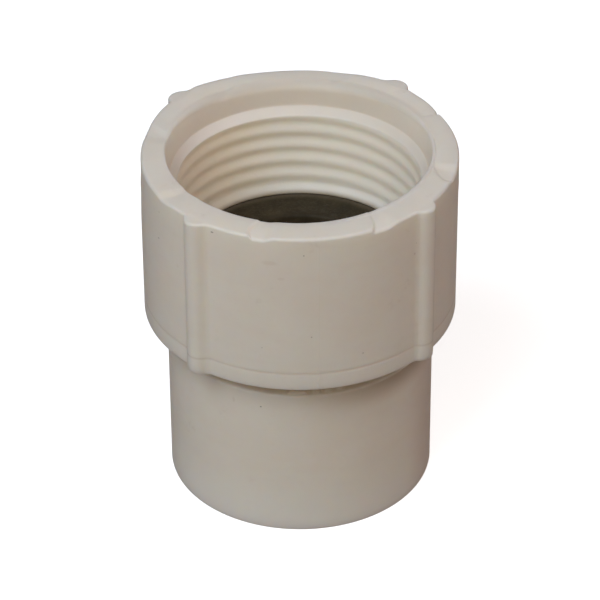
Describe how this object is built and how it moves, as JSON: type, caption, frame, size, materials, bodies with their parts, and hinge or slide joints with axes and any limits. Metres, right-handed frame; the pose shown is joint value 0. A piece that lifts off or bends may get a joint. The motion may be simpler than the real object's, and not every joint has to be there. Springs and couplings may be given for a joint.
{
  "type": "pipe union half",
  "caption": "Swivel female threaded nut held captive on a plain pipe socket tailpiece, sealing on a flat rubber washer.",
  "frame": {"origin": "centre of the socket end face, on the axis of the waterway, where the fitting stands", "axes": "+Z along the waterway from the pipe socket to the threaded mouth of the nut; +X to the right and +Y away from a viewer at the front"},
  "size_m": [0.04, 0.04, 0.047],
  "materials": {
    "ivory_nut": "moulded ivory plastic, satin, with fine scuffs",
    "ivory_tailpiece": "moulded ivory plastic, satin",
    "washer_rubber": "dull dark rubber"
  },
  "bodies": {
    "tailpiece": {"tailpiece": "ivory_tailpiece"},
    "washer": {"washer": "washer_rubber"},
    "union_nut": {"union_nut": "ivory_nut"}
  },
  "joints": [
    {"name": "nut_swivel", "type": "hinge", "parent": "tailpiece", "child": "washer", "pos_m": [0, 0, 0.02865], "axis": [0, 0, 1], "continuous": true},
    {"name": "nut_lift", "type": "slide", "parent": "washer", "child": "union_nut", "axis": [0, 0, 1], "range_m": [0, 0.0009]}
  ]
}
